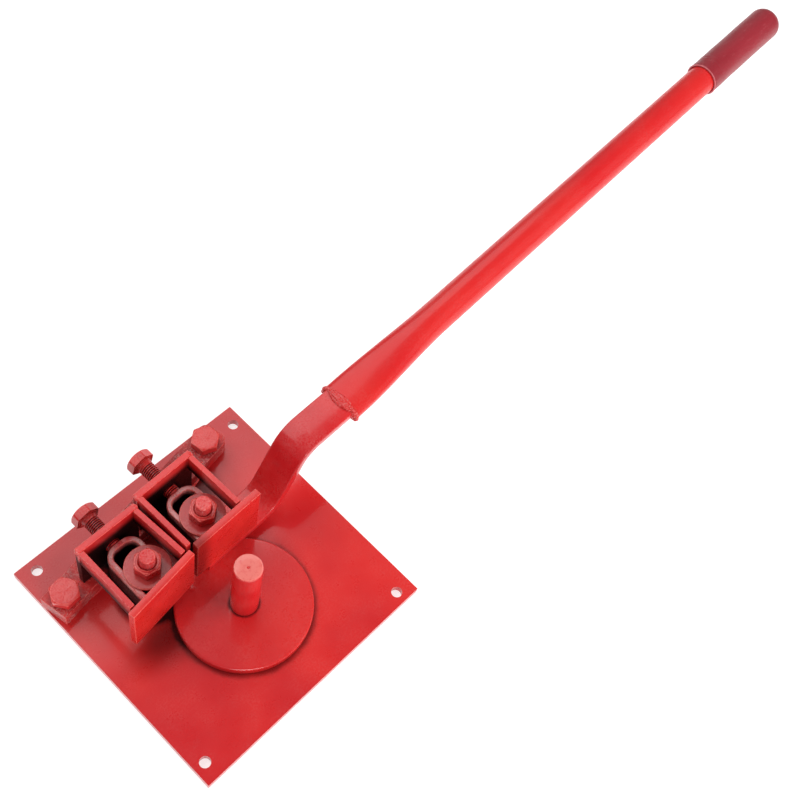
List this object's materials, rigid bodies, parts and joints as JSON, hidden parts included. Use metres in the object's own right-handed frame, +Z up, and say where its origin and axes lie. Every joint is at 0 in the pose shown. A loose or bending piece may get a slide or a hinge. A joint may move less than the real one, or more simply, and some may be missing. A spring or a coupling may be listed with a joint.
{
  "type": "rebar bender",
  "caption": "Bench-mounted hand rebar bender: square base plate with former pin, turntable and long lever, and screw-adjusted clamped jaws on a fixed and a swinging frame.",
  "frame": {"origin": "turning axis of the lever (the former pin's axis) on the underside of the base plate", "axes": "+X along the lever at rest, +Y from the former pin towards the adjusting screws, +Z up"},
  "size_m": [0.9802, 0.25, 0.1492],
  "materials": {
    "red_plate": "glossy red enamel over hot-rolled steel plate",
    "red_bar": "thin red enamel over mill-scaled steel bar",
    "red_bolts": "red enamel over machined hexagon heads",
    "red_pin": "red enamel over turned steel, end face lightly worn",
    "red_turntable": "glossy red enamel over a turned steel disc",
    "dark_washer": "oily steel in shadow",
    "red_frames": "red enamel over cut steel strip",
    "red_jaws": "glossy red enamel over cut steel plate",
    "red_straps": "red enamel over bent flat bar",
    "red_screws": "red enamel over rolled threads",
    "red_studs": "red enamel over studding",
    "red_nuts": "red enamel over hexagon nuts and washers",
    "red_lever": "red enamel over hot-bent flat bar",
    "red_tube": "glossy red enamel over steel tube",
    "red_weld": "red enamel over weld bead",
    "red_grip": "satin red vinyl sleeve"
  },
  "bodies": {
    "base": {"base_plate": "red_plate", "backing_bar": "red_bar", "bar_bolt_left": "red_bolts", "bar_bolt_right": "red_bolts", "former_pin": "red_pin", "thrust_washer": "dark_washer", "left_support": "red_plate", "left_deck": "red_plate", "left_back_plate": "red_frames", "left_outer_strip": "red_frames", "left_inner_strip": "red_frames", "left_stud": "red_studs", "left_washer": "red_nuts"},
    "left_clamp": {"left_nut": "red_nuts"},
    "left_slider": {"left_jaw": "red_jaws", "left_strap": "red_straps"},
    "left_adjuster": {"left_screw": "red_screws"},
    "lever": {"turntable": "red_turntable", "lever_flat": "red_lever", "handle_tube": "red_tube", "tube_weld": "red_weld", "handle_grip": "red_grip", "right_deck": "red_plate", "right_back_plate": "red_frames", "right_inner_strip": "red_frames", "right_outer_strip": "red_frames", "right_stud": "red_studs", "right_washer": "red_nuts"},
    "right_clamp": {"right_nut": "red_nuts"},
    "right_slider": {"right_jaw": "red_jaws", "right_strap": "red_straps"},
    "right_adjuster": {"right_screw": "red_screws"}
  },
  "joints": [
    {"name": "lever_swing", "type": "hinge", "parent": "base", "child": "lever", "pos_m": [0, 0, 0], "axis": [0, 0, 1], "range_deg": [-180, 0]},
    {"name": "left_jaw_slide", "type": "slide", "parent": "base", "child": "left_slider", "axis": [0, -1, 0], "range_m": [0, 0.018]},
    {"name": "left_screw_turn", "type": "hinge", "parent": "left_slider", "child": "left_adjuster", "pos_m": [-0.057, 0.12, 0.0563], "axis": [0, -1, 0], "range_deg": [0, 3240]},
    {"name": "left_nut_turn", "type": "hinge", "parent": "base", "child": "left_clamp", "pos_m": [-0.0515, 0.06498, 0.07], "axis": [0, 0, 1], "range_deg": [0, 360]},
    {"name": "right_jaw_slide", "type": "slide", "parent": "lever", "child": "right_slider", "axis": [0.0251, -0.9997, 0], "range_m": [0, 0.018]},
    {"name": "right_screw_turn", "type": "hinge", "parent": "right_slider", "child": "right_adjuster", "pos_m": [0.01048, 0.1203, 0.0573], "axis": [0.0251, -0.9997, 0], "range_deg": [0, 3240]},
    {"name": "right_nut_turn", "type": "hinge", "parent": "lever", "child": "right_clamp", "pos_m": [0.01355, 0.06996, 0.07], "axis": [0, 0, 1], "range_deg": [0, 360]}
  ],
  "couplings": [
    {"joint": "left_jaw_slide", "follows": "left_screw_turn", "m_per_rad": 0.0003183},
    {"joint": "right_jaw_slide", "follows": "right_screw_turn", "m_per_rad": 0.0003183}
  ]
}
